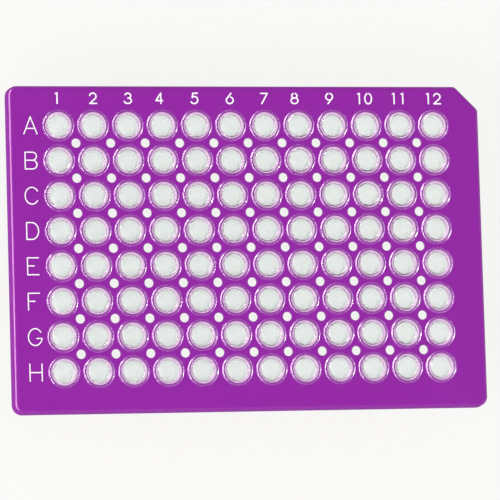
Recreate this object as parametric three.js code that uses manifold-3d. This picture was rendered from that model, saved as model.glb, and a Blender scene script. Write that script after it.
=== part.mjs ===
// A 96-well PCR plate: a short-skirted frame with 96 conical wells moulded through its deck.
// Millimetres. The origin is on the surface that the well tips stand on, under the middle of
// the plate. +X runs from column 1 to column 12, +Y from row H to row A, +Z out of the wells.

import * as THREE from 'three';
import { mergeVertices } from 'three/addons/utils/BufferGeometryUtils.js';
import Module from 'manifold-3d';

const wasm = await Module();
wasm.setup();

// Grid: the standard layout that dispensers and cyclers are made for.
const columns = 12;
const rows = 8;
const pitch = 9;

// Frame: a flat deck with a flared short skirt round it.
const endMargin = 12.6; // from the centres of columns 1 and 12 to the deck's edge, on average
const deckShift = -0.25; // of the deck's edge along X, over a lower edge that is centred
const sideMargin = 10.25; // from the centres of rows A and H to the deck's edge
const deckThickness = 1;
const deckEdgeRadius = 1.1; // rounding where the deck turns down into the skirt
const skirtDepth = 5.2; // from the deck's top face to the skirt's lower edge
const skirtFlare = 0.3; // how far the lower edge stands out past the deck
const skirtWall = 1;
const cornerRadius = 2.3;
const keyCut = 6.1; // leg of the 45 degree corner cut beside well A12
const keyCutRadius = 1.5; // rounding at both ends of that cut

// Vents: round holes through the deck, one between each four wells.
const ventDiameter = 2.4;

// Wells: a slightly drafted barrel on a cone that fits a cycler's block.
const wellHeight = 20.7; // from the sealing rim to the outside of the tip
const rimHeight = 0.5; // how far the rim stands above the deck
const rimDiameter = 8.3;
const boreMouthDiameter = 5.5;
const boreKneeDiameter = 5.3; // where the barrel ends and the cone begins
const kneeDepth = 6; // from the rim to that knee
const wellWall = 0.37;
const tipFloor = 0.6; // thickness under the bottom of the bore
const tipDiameter = 2.2; // flat at the end of the cone

// Facets
const wellSides = 7;
const ventSides = 6;
const cornerSteps = 3;
const keyCutSteps = 1;
const edgeSteps = 3;

// Levels and half sizes that follow from the sizes above.
const rimTop = wellHeight;
const deckTop = rimTop - rimHeight;
const deckUnderside = deckTop - deckThickness;
const skirtBottom = deckTop - skirtDepth;
const knee = rimTop - kneeDepth;
const halfLength = ((columns - 1) * pitch) / 2 + endMargin;
const halfWidth = ((rows - 1) * pitch) / 2 + sideMargin;
const past = 1; // how far a cutting tool runs past the face that it opens

// The centre and sweep of each rounded corner, counter-clockwise seen from above. An outline
// that lies `grow` outside the deck's has a radius larger by `grow` about the same centres,
// and all of it stands `shift` along X.
function cornerArcs() {
  const x = halfLength - cornerRadius;
  const y = halfWidth - cornerRadius;
  const inset = keyCut + keyCutRadius * Math.tan(Math.PI / 8);
  const arc = (centreX, centreY, radius, start, sweep, steps) => (
    { centreX, centreY, radius, start, sweep, steps }
  );
  const quarter = Math.PI / 2;
  const eighth = Math.PI / 4;
  return [
    arc(halfLength - keyCutRadius, halfWidth - inset, keyCutRadius, 0, eighth, keyCutSteps),
    arc(halfLength - inset, halfWidth - keyCutRadius, keyCutRadius, eighth, eighth, keyCutSteps),
    arc(-x, y, cornerRadius, quarter, quarter, cornerSteps),
    arc(-x, -y, cornerRadius, 2 * quarter, quarter, cornerSteps),
    arc(x, -y, cornerRadius, 3 * quarter, quarter, cornerSteps),
  ];
}

function plateOutline({ grow, shift }) {
  return cornerArcs().flatMap(({ centreX, centreY, radius, start, sweep, steps }) => (
    Array.from({ length: steps + 1 }, (_, i) => {
      const angle = start + (sweep * i) / steps;
      return new THREE.Vector2(
        centreX + (radius + grow) * Math.cos(angle) + shift,
        centreY + (radius + grow) * Math.sin(angle),
      );
    })
  ));
}

// A closed skin through plate outlines stacked from the lowest up, each { grow, shift, z }.
function loft(sections) {
  const outlines = sections.map(plateOutline);
  const count = outlines[0].length;
  const positions = sections.flatMap(({ z }, level) => (
    outlines[level].flatMap((point) => [point.x, point.y, z])
  ));
  const index = [];
  for (let level = 0; level + 1 < sections.length; level += 1) {
    for (let i = 0; i < count; i += 1) {
      const a = level * count + i;
      const b = level * count + ((i + 1) % count);
      index.push(a, b, b + count, a, b + count, a + count);
    }
  }
  const top = (sections.length - 1) * count;
  for (let i = 1; i + 1 < count; i += 1) {
    index.push(0, i + 1, i);
    index.push(top, top + i, top + i + 1);
  }
  const geometry = new THREE.BufferGeometry();
  geometry.setAttribute('position', new THREE.Float32BufferAttribute(positions, 3));
  geometry.setIndex(index);
  return geometry;
}

// A solid of revolution about +Z from [radius, z] points that start and end on the axis,
// from the lowest up.
function turned(profile, sides) {
  const points = profile.map(([radius, z]) => new THREE.Vector2(radius, z));
  return new THREE.LatheGeometry(points, sides).rotateX(Math.PI / 2);
}

function solidOf(geometry) {
  geometry.deleteAttribute('normal');
  geometry.deleteAttribute('uv');
  const merged = mergeVertices(geometry);
  return new wasm.Manifold(new wasm.Mesh({
    numProp: 3,
    vertProperties: merged.attributes.position.array,
    triVerts: new Uint32Array(merged.index.array),
  }));
}

function geometryOf(solid) {
  const { numProp, vertProperties, triVerts } = solid.getMesh();
  const vertices = new THREE.InterleavedBuffer(vertProperties, numProp);
  const indexed = new THREE.BufferGeometry();
  indexed.setAttribute('position', new THREE.InterleavedBufferAttribute(vertices, 3, 0));
  indexed.setIndex(new THREE.BufferAttribute(triVerts, 1));
  const faceted = indexed.toNonIndexed();
  faceted.computeVertexNormals();
  return faceted;
}

// The skirt's outline at a level, a given distance inside its outer face.
function skirtSection(z, inside) {
  const rise = (z - skirtBottom) / (skirtDepth - deckEdgeRadius);
  return { grow: skirtFlare * (1 - rise) - inside, shift: deckShift * rise, z };
}

// Deck and skirt in one wall: the outer skin less the hollow under the deck.
function frame() {
  const edge = Array.from({ length: edgeSteps + 1 }, (_, i) => {
    const angle = (Math.PI / 2) * (i / edgeSteps);
    return {
      grow: deckEdgeRadius * (Math.cos(angle) - 1),
      shift: deckShift,
      z: deckTop + deckEdgeRadius * (Math.sin(angle) - 1),
    };
  });
  const skin = loft([skirtSection(skirtBottom, 0), ...edge]);
  const hollow = loft([
    skirtSection(skirtBottom - past, skirtWall),
    skirtSection(deckUnderside, skirtWall),
  ]);
  return solidOf(skin).subtract(solidOf(hollow));
}

// Radius of the bore at a level on its barrel.
function boreRadius(z) {
  const share = (z - knee) / kneeDepth;
  return THREE.MathUtils.lerp(boreKneeDiameter, boreMouthDiameter, share) / 2;
}

// The outside of one well, from its tip to its sealing rim: a pointed cone faced off at the tip.
function wellBody() {
  const tipRadius = tipDiameter / 2;
  const kneeRadius = boreRadius(knee) + wellWall;
  const apex = -knee * tipRadius / (kneeRadius - tipRadius);
  const outside = solidOf(turned([
    [0, apex],
    [kneeRadius, knee],
    [boreRadius(deckUnderside) + wellWall, deckUnderside],
    [rimDiameter / 2, deckTop],
    [rimDiameter / 2, rimTop],
    [0, rimTop],
  ], wellSides));
  const facedOff = new THREE.BoxGeometry(rimDiameter, rimDiameter, -2 * apex);
  return outside.subtract(solidOf(facedOff.translate(0, 0, apex)));
}

// The space inside one well: the cone ends in a point above the tip.
function wellBore() {
  return solidOf(turned([
    [0, tipFloor],
    [boreRadius(knee), knee],
    [boreRadius(rimTop + past), rimTop + past],
    [0, rimTop + past],
  ], wellSides));
}

function vent() {
  const radius = ventDiameter / 2;
  return solidOf(turned([
    [0, deckUnderside - past],
    [radius, deckUnderside - past],
    [radius, deckTop + past],
    [0, deckTop + past],
  ], ventSides));
}

// Centres of a grid of places about the middle of the plate.
function gridPlaces(across, along) {
  return Array.from({ length: across * along }, (_, i) => [
    ((i % across) - (across - 1) / 2) * pitch,
    (Math.floor(i / across) - (along - 1) / 2) * pitch,
  ]);
}

function wellPlate() {
  const body = wellBody();
  const bore = wellBore();
  const hole = vent();
  let plate = frame();
  for (const [x, y] of gridPlaces(columns, rows)) {
    plate = plate.add(body.translate(x, y, 0));
  }
  for (const [x, y] of gridPlaces(columns, rows)) {
    plate = plate.subtract(bore.translate(x, y, 0));
  }
  for (const [x, y] of gridPlaces(columns - 1, rows - 1)) {
    plate = plate.subtract(hole.translate(x, y, 0));
  }
  return plate;
}

const plate = new THREE.Mesh(
  geometryOf(wellPlate()),
  new THREE.MeshStandardMaterial({ color: 0x962ca6, roughness: 0.3, metalness: 0 }),
);
plate.name = 'well_plate';

const root = new THREE.Group();
root.add(plate);

export default root;
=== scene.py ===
"""The well plate's looks: a purple frame, clear wells and printed labels, on a pale floor."""

from math import cos, pi, radians, sin, tan

import bmesh
import bpy
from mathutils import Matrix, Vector


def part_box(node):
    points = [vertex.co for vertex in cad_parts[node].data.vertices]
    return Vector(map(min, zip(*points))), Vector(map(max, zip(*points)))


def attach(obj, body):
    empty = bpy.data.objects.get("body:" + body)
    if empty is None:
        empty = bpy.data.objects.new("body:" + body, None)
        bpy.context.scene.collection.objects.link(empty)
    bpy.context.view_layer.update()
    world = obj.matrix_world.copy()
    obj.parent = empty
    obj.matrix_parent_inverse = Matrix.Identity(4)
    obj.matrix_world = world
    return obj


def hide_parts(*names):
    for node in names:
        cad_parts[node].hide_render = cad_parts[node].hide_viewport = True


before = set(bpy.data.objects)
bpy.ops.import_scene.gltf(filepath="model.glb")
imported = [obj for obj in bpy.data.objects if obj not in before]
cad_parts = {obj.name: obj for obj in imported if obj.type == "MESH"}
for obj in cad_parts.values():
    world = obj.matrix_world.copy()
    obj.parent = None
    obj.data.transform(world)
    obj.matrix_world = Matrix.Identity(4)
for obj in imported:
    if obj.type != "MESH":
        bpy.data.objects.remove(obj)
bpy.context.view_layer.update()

NODE = "well_plate"
low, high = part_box(NODE)

MM = 0.001

# Grid: the standard layout, with row A at the back and column 1 on the left
COLUMNS = 12
ROWS = 8
PITCH = 9 * MM

# Frame, with the CAD's sizes; its outside comes from the CAD's box
RIM_HEIGHT = 0.5 * MM
DECK_THICKNESS = 1 * MM
DECK_SHIFT = -0.25 * MM       # of the deck's edge along X, over a lower edge that is centred
EDGE_RADIUS = 1.1 * MM
SMOOTH_FROM = 0.15 * MM       # the rounded edge is smooth from this far under the deck's top
SMOOTH_TO = 0.55 * MM         # to this far, on a frame that is matte elsewhere
SKIRT_DEPTH = 5.2 * MM
SKIRT_FLARE = 0.3 * MM
SKIRT_WALL = 1 * MM
SKIRT_EDGE_RADIUS = 0.2 * MM
INNER_FILLET = 0.4 * MM       # between the deck and the skirt, on the underside
TOP_BORDER = 0.3 * MM         # flat strip of the deck inside its rounded edge
CORNER_RADIUS = 2.3 * MM
KEY_CUT = 6.1 * MM
KEY_CUT_RADIUS = 1.5 * MM
VENT_RADIUS = 1.2 * MM
VENT_EDGE_RADIUS = 0.1 * MM
COLLAR_RADIUS = 3.42 * MM     # hole in the deck that each well is moulded through

# Wells
RIM_RADIUS = 4.1 * MM
RIM_EDGE_RADIUS = 0.43 * MM
MOUTH_RADIUS = 2.75 * MM
MOUTH_EDGE_RADIUS = 0.15 * MM
KNEE_RADIUS = 2.65 * MM
KNEE_DEPTH = 6 * MM
WELL_WALL = 0.37 * MM
KNEE_ROUNDING = 3 * MM
TIP_RADIUS = 1.1 * MM
TIP_ROUNDING = 0.7 * MM
TIP_FLOOR = 0.6 * MM
BORE_END_ROUNDING = 0.55 * MM
SEAT_GAP = 0.02 * MM          # between a well and the frame that holds it

# Facets
WELL_SIDES = 48
VENT_SIDES = 28
EDGE_STEPS = 9                # round the deck's edge
SHARP = radians(50)           # edges of a well that turn more than this stay sharp

# Labels
LABEL_HEIGHT = 0.03 * MM      # thickness of the ink
LABEL_STEP = 0.004 * MM       # each stroke of a sign lies this much over the one before
LETTER_STROKE = 0.28 * MM
DIGIT_STROKE = 0.35 * MM
LETTERS_FROM_A1 = -7.25 * MM  # from column 1 to the middle of the letters
NUMBERS_FROM_A1 = 7.0 * MM    # from row A to the middle of the numbers
DIGIT_SPACING = 2.35 * MM
LEAST_STEP = 0.01 * MM        # between the points of a stroke
LEAST_COSINE = 0.35           # of half the turn at a stroke's corner

# How far each number is printed to the right of its column, in millimetres
NUMBER_SHIFTS = (-0.2, 0.1, 0.2, -0.6, -0.45, -0.1, 0, -0.95, -0.7, -0.45, -0.15, 0.08)

# Levels and half sizes that follow
RIM_TOP = high.z
DECK_TOP = RIM_TOP - RIM_HEIGHT
DECK_UNDERSIDE = DECK_TOP - DECK_THICKNESS
SKIRT_BOTTOM = DECK_TOP - SKIRT_DEPTH
KNEE = RIM_TOP - KNEE_DEPTH
HALF_LENGTH = high.x - SKIRT_FLARE
HALF_WIDTH = high.y - SKIRT_FLARE


# ---------------------------------------------------------------- shapes

def turned(arm, angle):
    """A flat vector, turned anticlockwise."""
    return Vector((
        arm.x * cos(angle) - arm.y * sin(angle),
        arm.x * sin(angle) + arm.y * cos(angle),
    ))


def rounded(corners, steps=5):
    """The points of a profile through corners (u, v, radius), each rounded by its radius."""
    points = []
    for i, (u, v, radius) in enumerate(corners):
        here = Vector((u, v))
        if not radius:
            points.append(here)
            continue
        before = (Vector(corners[i - 1][:2]) - here).normalized()
        after = (Vector(corners[i + 1][:2]) - here).normalized()
        half = before.angle(after) / 2
        centre = here + (before + after).normalized() * (radius / sin(half))
        start = here + before * (radius / tan(half)) - centre
        sweep = start.angle_signed(here + after * (radius / tan(half)) - centre)
        points += [centre + turned(start, -sweep * k / steps) for k in range(steps + 1)]
    return points


def middle_out(index, count):
    """Where one of a row of places stands, a pitch apart about the middle of the plate."""
    return (index - (count - 1) / 2) * PITCH


def grid_places(across, along):
    """Centres of a grid of places about the middle of the plate."""
    return [
        (middle_out(i, across), middle_out(j, along))
        for j in range(along)
        for i in range(across)
    ]


def plate_outline(grow, shift, corner_steps=10, cut_steps=5):
    """Points round the plate, `grow` outside the deck, with the cut corner beside A12."""
    x, y = HALF_LENGTH - CORNER_RADIUS, HALF_WIDTH - CORNER_RADIUS
    inset = KEY_CUT + KEY_CUT_RADIUS * tan(pi / 8)
    arcs = [
        (HALF_LENGTH - KEY_CUT_RADIUS, HALF_WIDTH - inset, KEY_CUT_RADIUS, 0, 45, cut_steps),
        (HALF_LENGTH - inset, HALF_WIDTH - KEY_CUT_RADIUS, KEY_CUT_RADIUS, 45, 90, cut_steps),
        (-x, y, CORNER_RADIUS, 90, 180, corner_steps),
        (-x, -y, CORNER_RADIUS, 180, 270, corner_steps),
        (x, -y, CORNER_RADIUS, 270, 360, corner_steps),
    ]
    points = []
    for cx, cy, radius, start, end, steps in arcs:
        for k in range(steps + 1):
            a = radians(start + (end - start) * k / steps)
            reach = radius + grow
            points.append((cx + shift + reach * cos(a), cy + reach * sin(a)))
    return points


def ring_points(cx, cy, radius, sides):
    return [
        (cx + radius * cos(2 * pi * k / sides), cy + radius * sin(2 * pi * k / sides))
        for k in range(sides)
    ]


def add_loop(bm, points, z):
    return [bm.verts.new((x, y, z)) for x, y in points]


def skin_loops(bm, loops):
    """Quads between each loop of vertices and the next."""
    for lower, upper in zip(loops, loops[1:]):
        for i in range(len(lower)):
            j = (i + 1) % len(lower)
            bm.faces.new((lower[i], lower[j], upper[j], upper[i]))


def loop_edges(bm, loop):
    return [bm.edges.get((loop[i - 1], loop[i])) for i in range(len(loop))]


def piece_from(bm, name, material):
    """A smooth-shaded object of the mesh, which rides on the plate."""
    bmesh.ops.recalc_face_normals(bm, faces=bm.faces)
    mesh = bpy.data.meshes.new(name)
    bm.to_mesh(mesh)
    bm.free()
    mesh.shade_smooth()
    mesh.materials.append(material)
    piece = bpy.data.objects.new(name, mesh)
    bpy.context.scene.collection.objects.link(piece)
    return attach(piece, "root")


def weight_normals(piece):
    """Keeps the flat faces flat where they run into rounded edges."""
    modifier = piece.modifiers.new("flat faces", "WEIGHTED_NORMAL")
    modifier.weight = 100
    modifier.keep_sharp = True


# ---------------------------------------------------------------- frame

def rise(z):
    """0 at the skirt's lower edge, and 1 from where the rounding of the deck's edge starts."""
    return min(1, max(0, (z - SKIRT_BOTTOM) / (SKIRT_DEPTH - EDGE_RADIUS)))


def skirt_profile():
    """(grow, z) from the deck's underside, down inside the skirt, and up to the deck's top."""
    profile = rounded([
        (-SKIRT_WALL - 2 * INNER_FILLET, DECK_UNDERSIDE, 0),
        (-SKIRT_WALL, DECK_UNDERSIDE, INNER_FILLET),
        (SKIRT_FLARE - SKIRT_WALL, SKIRT_BOTTOM, SKIRT_EDGE_RADIUS),
        (SKIRT_FLARE, SKIRT_BOTTOM, SKIRT_EDGE_RADIUS),
        (0, DECK_TOP - EDGE_RADIUS, 0),
    ])
    for k in range(1, EDGE_STEPS + 1):
        a = radians(90 * k / EDGE_STEPS)
        profile.append((EDGE_RADIUS * (cos(a) - 1), DECK_TOP + EDGE_RADIUS * (sin(a) - 1)))
    profile.append((-EDGE_RADIUS - TOP_BORDER, DECK_TOP))
    return profile


def vent_profile():
    """(radius, z) down the wall of a vent, with its edges eased."""
    wide = VENT_RADIUS + 2 * VENT_EDGE_RADIUS
    return rounded([
        (wide, DECK_TOP, 0),
        (VENT_RADIUS, DECK_TOP, VENT_EDGE_RADIUS),
        (VENT_RADIUS, DECK_UNDERSIDE, VENT_EDGE_RADIUS),
        (wide, DECK_UNDERSIDE, 0),
    ], steps=4)


def make_frame(matte, smooth):
    """The deck and skirt in one skin, with the vents and a plain hole for each well."""
    bm = bmesh.new()
    border = [
        add_loop(bm, plate_outline(grow, DECK_SHIFT * rise(z)), z)
        for grow, z in skirt_profile()
    ]
    skin_loops(bm, border)
    top, underside = [border[-1]], [border[0]]
    for x, y in grid_places(COLUMNS - 1, ROWS - 1):
        loops = [add_loop(bm, ring_points(x, y, r, VENT_SIDES), z) for r, z in vent_profile()]
        skin_loops(bm, loops)
        top.append(loops[0])
        underside.append(loops[-1])
    for x, y in grid_places(COLUMNS, ROWS):
        loops = [
            add_loop(bm, ring_points(x, y, COLLAR_RADIUS, WELL_SIDES), z)
            for z in (DECK_TOP, DECK_UNDERSIDE)
        ]
        skin_loops(bm, loops)
        for loop in loops:
            for edge in loop_edges(bm, loop):
                edge.smooth = False
        top.append(loops[0])
        underside.append(loops[-1])
    for loops in (top, underside):
        edges = [edge for loop in loops for edge in loop_edges(bm, loop)]
        bmesh.ops.triangle_fill(bm, use_beauty=True, edges=edges)
    piece = piece_from(bm, "purple_frame", matte)
    piece.data.materials.append(smooth)
    for face in piece.data.polygons:
        if SMOOTH_FROM < DECK_TOP - face.center.z < SMOOTH_TO:
            face.material_index = 1
    weight_normals(piece)
    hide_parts(NODE)
    return piece


# ---------------------------------------------------------------- wells

def well_profile():
    """(radius, z) of one well, from the outside of its tip, over its rim, to its bore's end."""
    draft = (MOUTH_RADIUS - KNEE_RADIUS) / KNEE_DEPTH
    at_underside = MOUTH_RADIUS - draft * (RIM_TOP - DECK_UNDERSIDE)
    return rounded([
        (0, low.z, 0),
        (TIP_RADIUS, low.z, TIP_ROUNDING),
        (KNEE_RADIUS + WELL_WALL, KNEE, KNEE_ROUNDING),
        (at_underside + WELL_WALL, DECK_UNDERSIDE, 0),
        (COLLAR_RADIUS - SEAT_GAP, DECK_UNDERSIDE, 0),
        (COLLAR_RADIUS - SEAT_GAP, DECK_TOP + SEAT_GAP, 0),
        (RIM_RADIUS, DECK_TOP + SEAT_GAP, 0),
        (RIM_RADIUS, RIM_TOP, RIM_EDGE_RADIUS),
        (MOUTH_RADIUS, RIM_TOP, MOUTH_EDGE_RADIUS),
        (KNEE_RADIUS, KNEE, KNEE_ROUNDING),
        (TIP_RADIUS - WELL_WALL, low.z + TIP_FLOOR, BORE_END_ROUNDING),
        (0, low.z + TIP_FLOOR, 0),
    ], steps=4)


def make_wells(material):
    """One piece for each row of twelve wells."""
    profile = well_profile()
    for row in range(ROWS):
        bm = bmesh.new()
        y = -middle_out(row, ROWS)
        for column in range(COLUMNS):
            x = middle_out(column, COLUMNS)
            loops = [add_loop(bm, ring_points(x, y, r, WELL_SIDES), z) for r, z in profile[1:-1]]
            skin_loops(bm, loops)
            for loop, (_, z) in ((loops[0], profile[0]), (loops[-1], profile[-1])):
                centre = bm.verts.new((x, y, z))
                for i in range(len(loop)):
                    bm.faces.new((loop[i - 1], loop[i], centre))
        bmesh.ops.recalc_face_normals(bm, faces=bm.faces)
        for edge in bm.edges:
            if edge.calc_face_angle(0) > SHARP:
                edge.smooth = False
        piece = piece_from(bm, "wells_row_" + "abcdefgh"[row], material)
        weight_normals(piece)
        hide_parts(NODE)


# ---------------------------------------------------------------- labels

def bow(cx, cy, rx, ry, start, end, steps=14):
    """Points along an ellipse from one angle to another, in degrees."""
    angles = [radians(start + (end - start) * k / steps) for k in range(steps + 1)]
    return [(cx + rx * cos(a), cy + ry * sin(a)) for a in angles]


def letter_strokes():
    """The strokes of A to H in millimetres about the middle of each letter."""
    top, foot, left, right = 2.15, -2.15, -1.55, 1.55
    return {
        "A": [
            [(-1.7, foot), (0, top), (1.7, foot)],
            [(-1.15, -0.75), (1.15, -0.75)],
        ],
        "B": [
            [(left, foot), (left, top)],
            [(left, top), (0.35, top), *bow(0.35, 1.12, 1.03, 1.03, 90, -90), (left, 0.09)],
            [(0.35, 0.09), *bow(0.35, -1.03, 1.15, 1.12, 90, -90), (left, foot)],
        ],
        "C": [bow(0, 0, 1.75, top, 35, 325, 28)],
        "D": [
            [(left, foot), (left, top)],
            [(left, top), (-0.25, top), *bow(-0.25, 0, 1.75, top, 90, -90, 20), (left, foot)],
        ],
        "E": [
            [(1.3, top), (left, top)],
            [(left, top), (left, foot)],
            [(left, foot), (1.3, foot)],
            [(left, 0.1), (0.15, 0.1)],
        ],
        "F": [
            [(1.3, top), (left, top)],
            [(left, top), (left, foot)],
            [(left, 0.1), (0.15, 0.1)],
        ],
        "G": [
            bow(0, 0, 1.75, top, 35, 350, 28),
            [(1.7, -0.35), (0.4, -0.35)],
        ],
        "H": [
            [(left, top), (left, foot)],
            [(right, top), (right, foot)],
            [(left, 0), (right, 0)],
        ],
    }


def digit_strokes():
    """The strokes of 0 to 9 in millimetres about the middle of each digit."""
    top, foot = 1.33, -1.33
    return {
        "0": [bow(0, 0, 0.9, 1.35, 90, 450, 28)],
        "1": [[(-0.4, 1.2), (0, top), (0, foot)]],
        "2": [
            bow(-0.02, 0.5, 0.85, 0.83, 165, -38),
            [(0.65, -0.01), (-0.85, foot)],
            [(-0.85, foot), (0.9, foot)],
        ],
        "3": [
            bow(0, 0.68, 0.75, 0.65, 160, -90),
            bow(-0.05, -0.62, 0.95, 0.71, 85, -165),
        ],
        "4": [
            [(0.4, foot), (0.4, top)],
            [(0.4, top), (-0.9, -0.6)],
            [(-0.9, -0.6), (0.9, -0.6)],
        ],
        "5": [
            [(0.85, top), (-0.3, top)],
            [(-0.3, top), (-0.5, 0.2)],
            bow(-0.02, -0.42, 0.95, 0.93, 122, -150),
        ],
        "6": [
            bow(0, -0.48, 0.9, 0.87, 90, 450, 24),
            [(-0.83, -0.15), (0.35, top)],
        ],
        "7": [
            [(-0.85, top), (0.85, top)],
            [(0.85, top), (-0.65, foot)],
        ],
        "8": [
            bow(0, 0.7, 0.7, 0.63, 90, 450, 24),
            bow(0, -0.55, 0.92, 0.78, 90, 450, 24),
        ],
        "9": [
            bow(0, 0.48, 0.9, 0.87, 90, 450, 24),
            [(0.83, 0.15), (-0.35, foot)],
        ],
    }


def ribbon_outline(points, width):
    """The outline of a stroke of that width along the points, with round ends.

    Points closer than LEAST_STEP to the one before are left out, and at a sharp corner the
    stroke widens to no more than 1 / LEAST_COSINE of itself.
    """
    path = [Vector(points[0])]
    for point in map(Vector, points[1:]):
        if (point - path[-1]).length > LEAST_STEP:
            path.append(point)
    side, back = [], []
    for i, here in enumerate(path):
        ahead = path[min(i + 1, len(path) - 1)] - here
        behind = here - path[max(i - 1, 0)]
        ahead = (ahead if ahead.length else behind).normalized()
        behind = (behind if behind.length else ahead).normalized()
        along = (ahead + behind).normalized()
        reach = width / 2 / max(LEAST_COSINE, along.dot(ahead))
        normal = Vector((-along.y, along.x)) * reach
        side.append(here + normal)
        back.append(here - normal)
    return back + cap(path[-1], back[-1]) + side[::-1] + cap(path[0], side[0])


def cap(centre, start, steps=7):
    """Points of the half circle from `start` round the end of a stroke."""
    return [centre + turned(start - centre, pi * k / (steps + 1)) for k in range(1, steps + 1)]


def add_sign(bm, strokes, x, y, width):
    """The strokes of one letter or digit, as closed slabs set a little into the deck."""
    for order, stroke in enumerate(strokes):
        outline = ribbon_outline([(x + u * MM, y + v * MM) for u, v in stroke], width)
        bottom = add_loop(bm, outline, DECK_TOP - LABEL_HEIGHT)
        top = add_loop(bm, outline, DECK_TOP + LABEL_HEIGHT + order * LABEL_STEP)
        skin_loops(bm, [bottom, top])
        for loop in (bottom, top):
            bmesh.ops.triangle_fill(bm, use_beauty=True, edges=loop_edges(bm, loop))


def label_piece(bm, name, material):
    piece = piece_from(bm, name, material)
    piece.data.shade_flat()


def make_labels(material):
    bm = bmesh.new()
    letters = letter_strokes()
    x = middle_out(0, COLUMNS) + LETTERS_FROM_A1
    for row, letter in enumerate("ABCDEFGH"):
        add_sign(bm, letters[letter], x, -middle_out(row, ROWS), LETTER_STROKE)
    label_piece(bm, "row_letters", material)

    bm = bmesh.new()
    digits = digit_strokes()
    y = -middle_out(0, ROWS) + NUMBERS_FROM_A1
    for column in range(COLUMNS):
        number = str(column + 1)
        x = middle_out(column, COLUMNS) + NUMBER_SHIFTS[column] * MM
        for place, digit in enumerate(number):
            shift = (place - (len(number) - 1) / 2) * DIGIT_SPACING
            add_sign(bm, digits[digit], x + shift, y, DIGIT_STROKE)
    label_piece(bm, "column_numbers", material)


# ---------------------------------------------------------------- materials

# Each colour of the plate runs between two, in linear light.
PURPLE = (0.286, 0.019, 0.364), (0.298, 0.022, 0.38)
CLEAR = (0.91, 0.962, 0.95), (0.935, 0.977, 0.968)
# Painted light: the frame's purple, seen through and carried in the clear wall, painted into the
# wells' colour in the deck and at the rim
PAINTED_FRAME_LIGHT_IN_DECK = (0.91, 0.69, 0.91), (0.93, 0.72, 0.93)
PAINTED_FRAME_LIGHT_AT_RIM = (0.88, 0.54, 0.88), (0.9, 0.58, 0.9)
INK = (0.93, 0.9, 0.94), (1.0, 0.99, 1.0)

RIM_FADE = 0.2 * MM           # the painted purple light of the rim starts this far under the deck's top
COLLAR_FADE = 1.2 * MM        # and the painted purple light in the deck this far under its underside


def new_material(name):
    material = bpy.data.materials.new(name)
    material.use_nodes = True
    tree = material.node_tree
    return material, tree, tree.nodes["Principled BSDF"]


def noise(tree, scale):
    """Noise in the object's own coordinates; scale is in features to the metre."""
    place = tree.nodes.new("ShaderNodeTexCoord")
    texture = tree.nodes.new("ShaderNodeTexNoise")
    texture.inputs["Scale"].default_value = scale
    tree.links.new(place.outputs["Object"], texture.inputs["Vector"])
    return texture.outputs["Fac"]


def spread(tree, factor, low_value, high_value, socket):
    """Drives a socket between two values by a factor."""
    node = tree.nodes.new("ShaderNodeMapRange")
    node.inputs["To Min"].default_value = low_value
    node.inputs["To Max"].default_value = high_value
    tree.links.new(factor, node.inputs["Value"])
    tree.links.new(node.outputs["Result"], socket)


def mix_colour(tree, factor, first, second):
    """A colour that runs between two, each a plain colour or another node's output."""
    node = tree.nodes.new("ShaderNodeMix")
    node.data_type = "RGBA"
    tree.links.new(factor, node.inputs["Factor"])
    for name, colour in (("A", first), ("B", second)):
        if isinstance(colour, tuple):
            node.inputs[name].default_value = (*colour, 1)
        else:
            tree.links.new(colour, node.inputs[name])
    return node.outputs["Result"]


def add_bump(tree, factor, distance, shader):
    """Bump of the given depth, at half strength."""
    node = tree.nodes.new("ShaderNodeBump")
    node.inputs["Distance"].default_value = distance
    node.inputs["Strength"].default_value = 0.5
    tree.links.new(factor, node.inputs["Height"])
    tree.links.new(node.outputs["Normal"], shader.inputs["Normal"])


def above(tree, start, end):
    """0 below one level of the part and 1 above another."""
    place = tree.nodes.new("ShaderNodeTexCoord")
    parts = tree.nodes.new("ShaderNodeSeparateXYZ")
    share = tree.nodes.new("ShaderNodeMapRange")
    share.inputs["From Min"].default_value = start
    share.inputs["From Max"].default_value = end
    tree.links.new(place.outputs["Object"], parts.inputs[0])
    tree.links.new(parts.outputs["Z"], share.inputs["Value"])
    return share.outputs["Result"]


def path_value(tree, first, steps):
    """One of the ray's values, combined with others by (operation, name) in turn."""
    path = tree.nodes.new("ShaderNodeLightPath")
    total = path.outputs[first]
    for operation, name in steps:
        node = tree.nodes.new("ShaderNodeMath")
        node.operation = operation
        tree.links.new(total, node.inputs[0])
        tree.links.new(path.outputs[name], node.inputs[1])
        total = node.outputs[0]
    return total


def purple_plastic(finish, roughness, specular):
    """The frame's plastic in one of its finishes, with cloudy colour and a fine grain."""
    material, tree, shader = new_material(f"purple plastic, {finish}")
    colour = mix_colour(tree, noise(tree, 90), *PURPLE)
    tree.links.new(colour, shader.inputs["Base Color"])
    spread(tree, noise(tree, 800), *roughness, shader.inputs["Roughness"])
    shader.inputs["Specular IOR Level"].default_value = specular
    shader.inputs["Specular Tint"].default_value = (1, 0.84, 0.66, 1)
    shader.inputs["IOR"].default_value = 1.5
    add_bump(tree, noise(tree, 2600), 0.002 * MM, shader)
    return material


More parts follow.
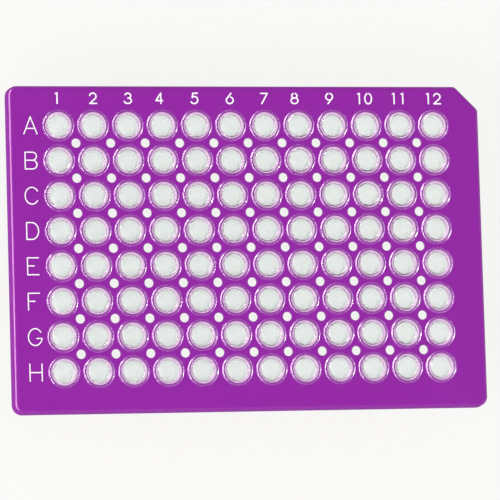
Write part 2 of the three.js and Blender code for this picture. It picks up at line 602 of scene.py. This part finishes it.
def clear_polypropylene():
    """Clear below the frame, with a painted purple tint in the deck and most of all at the rim,
    which stands in for the frame's purple light seen through and carried in the wall.

    It holds no light back from the matt surfaces round it, since its wall is so thin.
    """
    material, tree, shader = new_material("clear polypropylene")
    at_rim = above(tree, DECK_TOP - RIM_FADE, DECK_TOP)
    in_deck = above(tree, DECK_UNDERSIDE - COLLAR_FADE, DECK_UNDERSIDE)
    wall = mix_colour(tree, noise(tree, 160), *CLEAR)
    # painted light: the frame's purple, in the deck and at the rim
    painted_light_in_deck = mix_colour(tree, noise(tree, 160), *PAINTED_FRAME_LIGHT_IN_DECK)
    rim = mix_colour(tree, noise(tree, 160), *PAINTED_FRAME_LIGHT_AT_RIM)
    wall = mix_colour(tree, in_deck, wall, painted_light_in_deck)
    tree.links.new(mix_colour(tree, at_rim, wall, rim), shader.inputs["Base Color"])
    roughness = tree.nodes.new("ShaderNodeMix")
    spread(tree, noise(tree, 900), 0.09, 0.15, roughness.inputs["A"])
    spread(tree, noise(tree, 900), 0.2, 0.25, roughness.inputs["B"])
    tree.links.new(at_rim, roughness.inputs["Factor"])
    tree.links.new(roughness.outputs["Result"], shader.inputs["Roughness"])
    shader.inputs["IOR"].default_value = 1.49
    shader.inputs["Transmission Weight"].default_value = 1.0
    passing = path_value(tree, "Is Shadow Ray", [("MAXIMUM", "Is Diffuse Ray")])
    through = tree.nodes.new("ShaderNodeBsdfTransparent")
    choose = tree.nodes.new("ShaderNodeMixShader")
    tree.links.new(passing, choose.inputs[0])
    tree.links.new(shader.outputs[0], choose.inputs[1])
    tree.links.new(through.outputs[0], choose.inputs[2])
    tree.links.new(choose.outputs[0], tree.nodes["Material Output"].inputs["Surface"])
    return material


def white_ink():
    material, tree, shader = new_material("white ink")
    colour = mix_colour(tree, noise(tree, 1500), *INK)
    tree.links.new(colour, shader.inputs["Base Color"])
    spread(tree, noise(tree, 2200), 0.42, 0.6, shader.inputs["Roughness"])
    return material


# ---------------------------------------------------------------- stage

def seen_directly(tree):
    """1 for camera, glossy and transmission rays that haven't met a matt surface, or else 0."""
    return path_value(tree, "Is Camera Ray", [
        ("MAXIMUM", "Is Glossy Ray"),
        ("MAXIMUM", "Is Transmission Ray"),
        ("GREATER_THAN", "Diffuse Depth"),
    ])


BACKGROUND = (0.955, 0.955, 0.935)
FLOOR_RADIUS = 4.0
FLOOR_SIDES = 64


def pale_floor():
    """Near white with a faint shadow where it is seen, and mid grey for the light it returns."""
    material = bpy.data.materials.new("pale floor")
    material.use_nodes = True
    tree = material.node_tree
    tree.nodes.clear()
    plain = tree.nodes.new("ShaderNodeBsdfDiffuse")
    plain.inputs["Color"].default_value = (0.6, 0.6, 0.6, 1)
    shade = tree.nodes.new("ShaderNodeBsdfDiffuse")
    shade.inputs["Color"].default_value = (0.13, 0.13, 0.13, 1)
    glow = tree.nodes.new("ShaderNodeEmission")
    glow.inputs["Color"].default_value = (*BACKGROUND, 1)
    glow.inputs["Strength"].default_value = 0.872
    both = tree.nodes.new("ShaderNodeAddShader")
    choose = tree.nodes.new("ShaderNodeMixShader")
    out = tree.nodes.new("ShaderNodeOutputMaterial")
    tree.links.new(shade.outputs[0], both.inputs[0])
    tree.links.new(glow.outputs[0], both.inputs[1])
    tree.links.new(seen_directly(tree), choose.inputs[0])
    tree.links.new(plain.outputs[0], choose.inputs[1])
    tree.links.new(both.outputs[0], choose.inputs[2])
    tree.links.new(choose.outputs[0], out.inputs["Surface"])
    return material


def make_floor():
    bm = bmesh.new()
    bm.faces.new(add_loop(bm, ring_points(0, 0, FLOOR_RADIUS, FLOOR_SIDES), low.z))
    mesh = bpy.data.meshes.new("floor")
    bm.to_mesh(mesh)
    bm.free()
    mesh.materials.append(pale_floor())
    floor = bpy.data.objects.new("floor", mesh)
    bpy.context.scene.collection.objects.link(floor)


def make_world():
    """Even in the light it gives, and where it is seen, white low down and dim overhead."""
    world = bpy.data.worlds.new("soft surroundings")
    bpy.context.scene.world = world
    world.use_nodes = True
    tree = world.node_tree
    tree.nodes.clear()
    lit = tree.nodes.new("ShaderNodeBackground")
    lit.inputs["Color"].default_value = (1, 1, 1, 1)
    lit.inputs["Strength"].default_value = 0.7
    seen = tree.nodes.new("ShaderNodeBackground")
    seen.inputs["Color"].default_value = (*BACKGROUND, 1)
    direction = tree.nodes.new("ShaderNodeTexCoord")
    parts = tree.nodes.new("ShaderNodeSeparateXYZ")
    fade = tree.nodes.new("ShaderNodeMapRange")
    fade.inputs["From Min"].default_value = 0.45     # sine of the elevation where it dims
    fade.inputs["From Max"].default_value = 0.9
    fade.inputs["To Min"].default_value = 1.0
    fade.inputs["To Max"].default_value = 0.2
    choose = tree.nodes.new("ShaderNodeMixShader")
    out = tree.nodes.new("ShaderNodeOutputWorld")
    tree.links.new(direction.outputs["Generated"], parts.inputs[0])
    tree.links.new(parts.outputs["Z"], fade.inputs["Value"])
    tree.links.new(fade.outputs["Result"], seen.inputs["Strength"])
    tree.links.new(seen_directly(tree), choose.inputs[0])
    tree.links.new(lit.outputs[0], choose.inputs[1])
    tree.links.new(seen.outputs[0], choose.inputs[2])
    tree.links.new(choose.outputs[0], out.inputs["Surface"])


def make_lamp(name, *, azimuth, elevation, distance, width, height, power, sheen):
    """A soft box aimed at the plate, either for its sheen alone or for light without sheen.

    The azimuth is counted in degrees from +X towards +Y, and the power is in watts.
    """
    lamp = bpy.data.lights.new(name, "AREA")
    lamp.shape = "RECTANGLE"
    lamp.size = width
    lamp.size_y = height
    lamp.energy = power
    a, e = radians(azimuth), radians(elevation)
    away = Vector((cos(a) * cos(e), sin(a) * cos(e), sin(e)))
    holder = bpy.data.objects.new(name, lamp)
    holder.location = away * distance
    holder.rotation_euler = away.to_track_quat("Z", "Y").to_euler()
    holder.visible_camera = False
    holder.visible_diffuse = not sheen
    holder.visible_glossy = sheen
    holder.visible_transmission = False
    bpy.context.scene.collection.objects.link(holder)


def make_lights():
    make_lamp(
        "left soft box", azimuth=213, elevation=40, distance=1.4,
        width=1.4, height=1.0, power=11.5, sheen=False,
    )
    make_lamp(
        "left sheen", azimuth=190, elevation=24, distance=1.4,
        width=2.2, height=1.2, power=135, sheen=True,
    )
    make_lamp(
        "right sheen", azimuth=0, elevation=28, distance=1.4,
        width=2.0, height=0.8, power=38, sheen=True,
    )
    make_lamp(
        "right glint", azimuth=-9, elevation=40, distance=0.8,
        width=0.08, height=0.08, power=12, sheen=True,
    )
    make_lamp(
        "corner sheen", azimuth=135, elevation=30, distance=1.4,
        width=0.5, height=0.5, power=60, sheen=True,
    )


CAMERA_LENS = 272.8           # in millimetres, on a sensor 36 mm wide
CAMERA_DISTANCE = 974.03      # in millimetres, from the point that it aims at
CAMERA_AIM = Vector((-0.25 * MM, -0.71 * MM, DECK_TOP - 0.62 * MM))
CAMERA_TURN = (radians(5.766), radians(-12.617), radians(-1.693))


def make_camera():
    """Looks down on the plate from in front of its left end, with a long lens."""
    camera = bpy.data.cameras.new("camera")
    camera.lens = CAMERA_LENS
    camera.sensor_width = 36
    holder = bpy.data.objects.new("camera", camera)
    holder.rotation_euler = CAMERA_TURN
    back = holder.rotation_euler.to_matrix() @ Vector((0, 0, 1))
    holder.location = CAMERA_AIM + back * CAMERA_DISTANCE * MM
    bpy.context.scene.collection.objects.link(holder)
    bpy.context.scene.camera = holder


bpy.context.scene.cycles.glossy_bounces = 12     # enough to get out of a well's wall
make_camera()
make_floor()
make_world()
make_lights()
make_frame(
    purple_plastic("matte", (0.46, 0.58), 0.02),
    purple_plastic("smooth", (0.18, 0.28), 0.33),
)
make_wells(clear_polypropylene())
make_labels(white_ink())
bpy.context.scene.view_settings.view_transform = "Standard"
